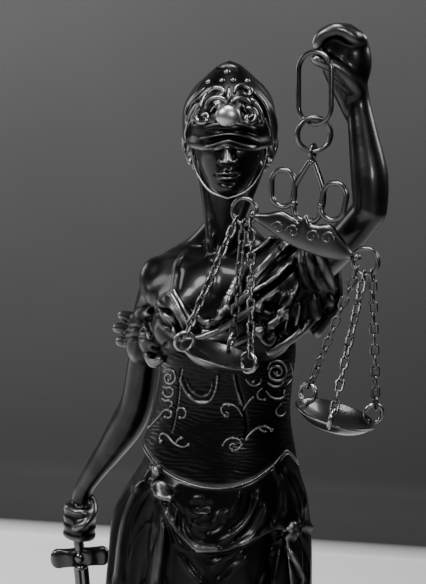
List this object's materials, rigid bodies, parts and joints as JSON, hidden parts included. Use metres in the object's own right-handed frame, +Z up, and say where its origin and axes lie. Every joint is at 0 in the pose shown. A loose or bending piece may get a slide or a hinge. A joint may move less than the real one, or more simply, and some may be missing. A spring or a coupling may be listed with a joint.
{
  "type": "lady justice statue",
  "caption": "Standing statuette of a blindfolded woman in a draped gown and corset, with a sword lowered in one hand and hanging scales raised in the other, on a low round plinth",
  "frame": {"origin": "Middle of the plinth's flat underside", "axes": "+Z is up and is the longest extent. The figure faces -Y, and its left hand, which raises the scales, is on the +X side."},
  "size_m": [0.0963, 0.092, 0.2898],
  "materials": {
    "patina": "near-black polished bronze-effect patina, rubbed brighter on raised edges",
    "metal": "dark polished metal"
  },
  "bodies": {
    "root": {"figure": "patina", "sword": "metal", "scale_beam": "metal", "upper_link": "metal", "lower_link": "metal", "left_pan": "metal", "right_pan": "metal", "left_pan_chain_1": "metal", "left_pan_chain_2": "metal", "left_pan_chain_3": "metal", "right_pan_chain_1": "metal", "right_pan_chain_2": "metal", "right_pan_chain_3": "metal"}
  },
  "joints": []
}
